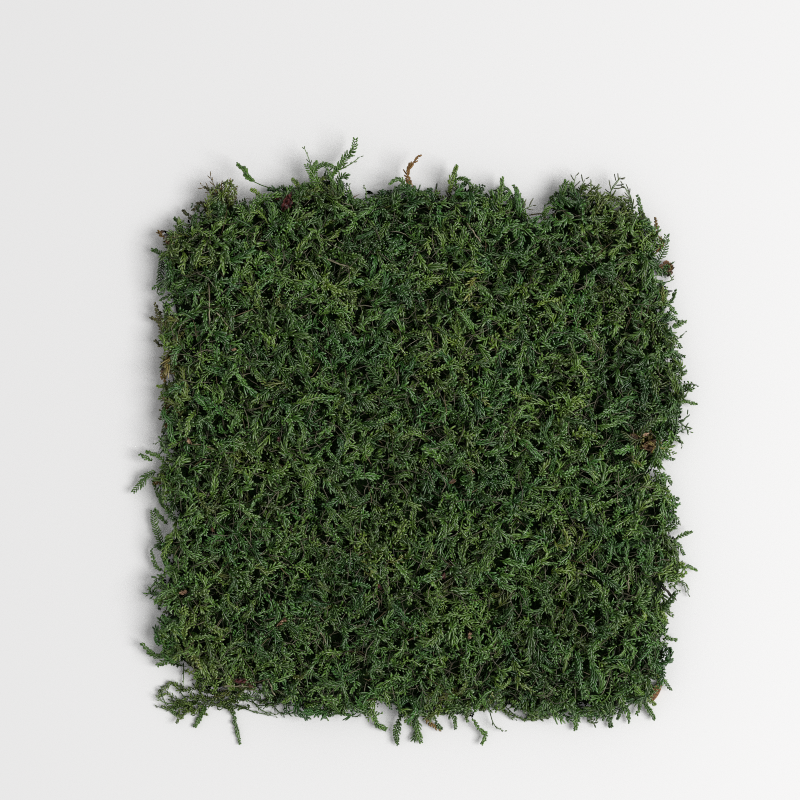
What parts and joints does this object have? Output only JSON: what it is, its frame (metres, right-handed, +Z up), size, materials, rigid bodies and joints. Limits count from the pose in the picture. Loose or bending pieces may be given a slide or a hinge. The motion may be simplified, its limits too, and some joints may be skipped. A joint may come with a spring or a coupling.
{
  "type": "moss clump",
  "caption": "Square mat of green feathery sheet moss lying flat, with a shaggy edge, stray fronds, dry stalks and bits of dead leaf.",
  "frame": {"origin": "the middle of the mat's flat underside, on the surface that it lies on", "axes": "+Z up, out of the mat's tufted top; +Y towards the far side, which is the top of the picture; +X towards the right-hand side"},
  "size_m": [0.3283, 0.3516, 0.0236],
  "materials": {
    "moss": "matte",
    "withered_moss": "matte",
    "dry_stalk": "matte",
    "dead_leaf": "matte",
    "twig": "matte",
    "bark": "matte"
  },
  "bodies": {
    "root": {"moss_mat": "moss", "frond_far_1": "moss", "frond_far_2": "moss", "frond_far_3": "moss", "frond_far_4": "moss", "frond_far_5": "moss", "frond_far_6": "moss", "frond_far_7": "moss", "frond_far_8": "moss", "frond_far_9": "moss", "frond_right_1": "moss", "frond_right_2": "moss", "frond_right_3": "moss", "frond_right_4": "moss", "frond_right_5": "moss", "frond_right_6": "moss", "frond_right_7": "moss", "frond_right_8": "moss", "frond_right_9": "moss", "frond_right_10": "moss", "frond_right_11": "moss", "frond_near_1": "moss", "frond_near_2": "moss", "frond_near_3": "moss", "frond_near_4": "moss", "frond_near_5": "moss", "frond_near_6": "moss", "frond_near_7": "moss", "frond_near_8": "moss", "frond_near_9": "moss", "frond_near_10": "moss", "frond_near_11": "moss", "frond_near_12": "moss", "frond_left_1": "moss", "frond_left_2": "moss", "frond_left_3": "moss", "frond_left_4": "moss", "frond_left_5": "moss", "withered_frond": "withered_moss", "dry_stalk_1": "dry_stalk", "dry_stalk_2": "dry_stalk", "dry_stalk_3": "dry_stalk", "dry_stalk_4": "dry_stalk", "dry_stalk_5": "dry_stalk", "dry_stalk_6": "dry_stalk", "dry_stalk_7": "dry_stalk", "dry_stalk_8": "dry_stalk", "leaf_scrap_1": "dead_leaf", "leaf_scrap_2": "dead_leaf", "leaf_scrap_3": "dead_leaf", "leaf_scrap_4": "dead_leaf", "leaf_scrap_5": "dead_leaf", "leaf_scrap_6": "dead_leaf", "dead_leaf": "dead_leaf", "twig": "twig", "bark_chip": "bark"}
  },
  "joints": []
}
